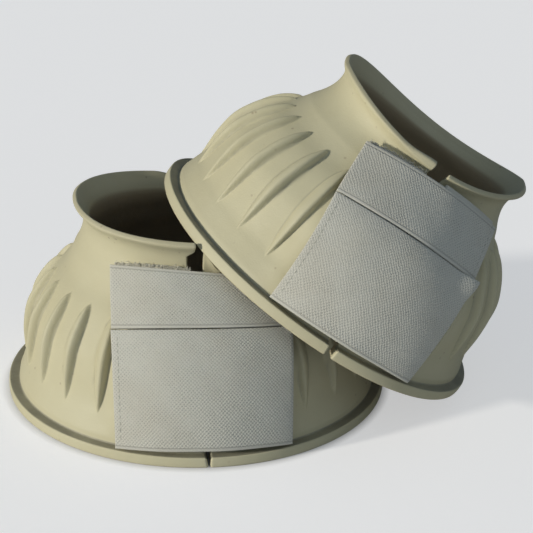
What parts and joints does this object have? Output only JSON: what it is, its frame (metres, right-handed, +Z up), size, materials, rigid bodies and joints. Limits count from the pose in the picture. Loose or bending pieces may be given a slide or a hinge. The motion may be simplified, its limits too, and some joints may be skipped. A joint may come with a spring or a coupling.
{
  "type": "bell boots",
  "caption": "Pair of open-front rubber bell boots for a horse, ribbed, with a rolled hem and two wide hook-and-loop straps each; one stands, one leans on it.",
  "frame": {"origin": "centre of the footprint on the ground", "axes": "+Z up; the straps face -Y; +X towards the leaning boot"},
  "size_m": [0.24, 0.1796, 0.1569],
  "materials": {
    "rubber": "matte natural gum rubber",
    "tape": "woven nylon tape",
    "pile": "brushed loop pile",
    "hooks": "moulded nylon hooks on woven tape",
    "thread": "twisted sewing thread"
  },
  "bodies": {
    "upright_boot": {"upright_bell": "rubber", "upright_upper_strap_sewn_end": "tape", "upright_upper_loop_patch": "pile", "upright_upper_strap_backing": "tape", "upright_upper_stitching": "thread", "upright_lower_strap_sewn_end": "tape", "upright_lower_loop_patch": "pile", "upright_lower_strap_backing": "tape", "upright_lower_stitching": "thread"},
    "upright_upper_flap": {"upright_upper_strap_flap": "tape", "upright_upper_hook_pad": "hooks"},
    "upright_lower_flap": {"upright_lower_strap_flap": "tape", "upright_lower_hook_pad": "hooks"},
    "leaning_boot": {"leaning_bell": "rubber", "leaning_upper_strap_sewn_end": "tape", "leaning_upper_loop_patch": "pile", "leaning_upper_strap_backing": "tape", "leaning_upper_stitching": "thread", "leaning_lower_strap_sewn_end": "tape", "leaning_lower_loop_patch": "pile", "leaning_lower_strap_backing": "tape", "leaning_lower_stitching": "thread"},
    "leaning_upper_flap": {"leaning_upper_strap_flap": "tape", "leaning_upper_hook_pad": "hooks"},
    "leaning_lower_flap": {"leaning_lower_strap_flap": "tape", "leaning_lower_hook_pad": "hooks"}
  },
  "joints": [
    {"name": "leaning_boot_lift_off", "type": "slide", "parent": "upright_boot", "child": "leaning_boot", "axis": [0.5606, 0, 0.8281], "range_m": [0, 0.15]},
    {"name": "upright_upper_strap_peel", "type": "hinge", "parent": "upright_boot", "child": "upright_upper_flap", "pos_m": [-0.0292, -0.06724, 0.07051], "axis": [-0.0601, 0.5978, 0.7994], "range_deg": [0, 130]},
    {"name": "upright_lower_strap_peel", "type": "hinge", "parent": "upright_boot", "child": "upright_lower_flap", "pos_m": [-0.01518, -0.08557, 0.03554], "axis": [0.0187, -0.2827, -0.959], "range_deg": [0, 140]},
    {"name": "leaning_upper_strap_peel", "type": "hinge", "parent": "leaning_boot", "child": "leaning_upper_flap", "pos_m": [0.06393, -0.06239, 0.11307], "axis": [0.4679, 0.6532, 0.5954], "range_deg": [0, 140]},
    {"name": "leaning_lower_strap_peel", "type": "hinge", "parent": "leaning_boot", "child": "leaning_lower_flap", "pos_m": [0.05236, -0.08491, 0.07648], "axis": [-0.5393, -0.2884, -0.7912], "range_deg": [0, 140]}
  ]
}
